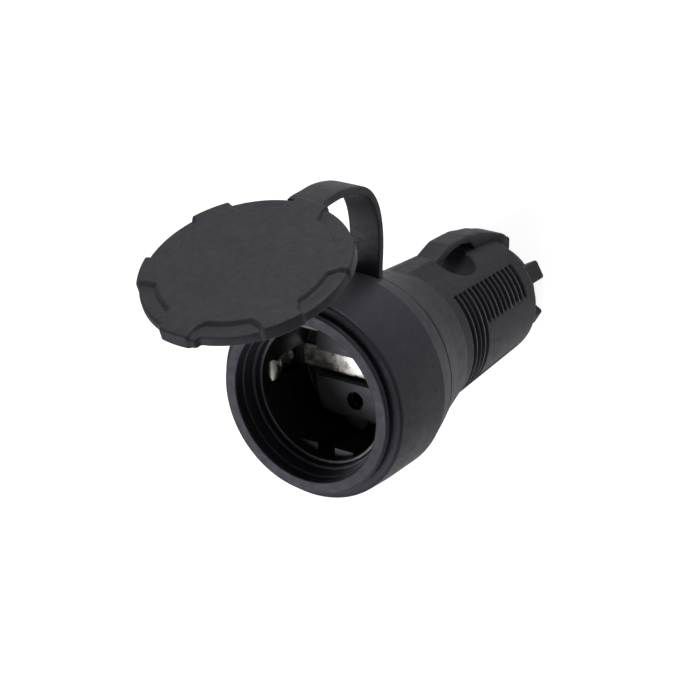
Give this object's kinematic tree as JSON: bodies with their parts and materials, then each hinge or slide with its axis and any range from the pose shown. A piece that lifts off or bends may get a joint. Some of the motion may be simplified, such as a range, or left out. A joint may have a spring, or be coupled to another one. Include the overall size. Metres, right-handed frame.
{
  "type": "inline socket connector",
  "caption": "Rubber inline socket for a mains lead: round recess with pin holes and earth clips, hinged lid on a strap, ribbed grip with hanging bar and lugged gland nut.",
  "frame": {"origin": "axis of the body at the rear faces of the gland lugs", "axes": "+Z along the body axis to the mouth, +Y to the strap and the hanging bar, +X to the right with the bar on top and the mouth in front"},
  "size_m": [0.0632, 0.0936, 0.1712],
  "materials": {
    "sleeve_rubber": "fine satin rubber",
    "grip_rubber": "fine satin rubber",
    "lid_rubber": "finely grained rubber",
    "strap_rubber": "satin rubber",
    "insert_plastic": "moulded thermoset",
    "plate_plastic": "moulded",
    "clamp_plastic": "moulded",
    "nut_plastic": "moulded",
    "seal_rubber": "soft rubber",
    "ring_plastic": "smooth",
    "earth_nickel": "nickel plated",
    "rivet_steel": "plated",
    "contact_brass": "drawn",
    "terminal_brass": "milled",
    "screw_steel": "zinc plated"
  },
  "bodies": {
    "root": {"front_sleeve": "sleeve_rubber", "rear_housing": "grip_rubber", "lid_strap": "strap_rubber", "socket_insert": "insert_plastic", "back_plate": "plate_plastic", "clamp_bar": "clamp_plastic", "gland_nut": "nut_plastic", "gland_seal": "seal_rubber", "thrust_ring": "ring_plastic", "earth_strip": "earth_nickel", "earth_rivet": "rivet_steel", "contact_upper": "contact_brass", "contact_lower": "contact_brass", "terminal_upper": "terminal_brass", "terminal_lower": "terminal_brass", "terminal_earth": "terminal_brass", "terminal_screw_upper": "screw_steel", "terminal_screw_lower": "screw_steel", "terminal_screw_earth": "screw_steel", "clamp_screw_left": "screw_steel", "clamp_screw_right": "screw_steel", "plate_screw_left": "screw_steel", "plate_screw_right": "screw_steel", "flange_screw_left": "screw_steel", "flange_screw_right": "screw_steel"},
    "lid": {"lid": "lid_rubber"}
  },
  "joints": [
    {"name": "lid_swing", "type": "hinge", "parent": "root", "child": "lid", "pos_m": [0, 0.0434, 0.09245], "axis": [1, 0, 0], "range_deg": [-35, 69.5], "stiffness_Nm_per_rad": 0.03, "deforming": ["lid_strap"]}
  ]
}
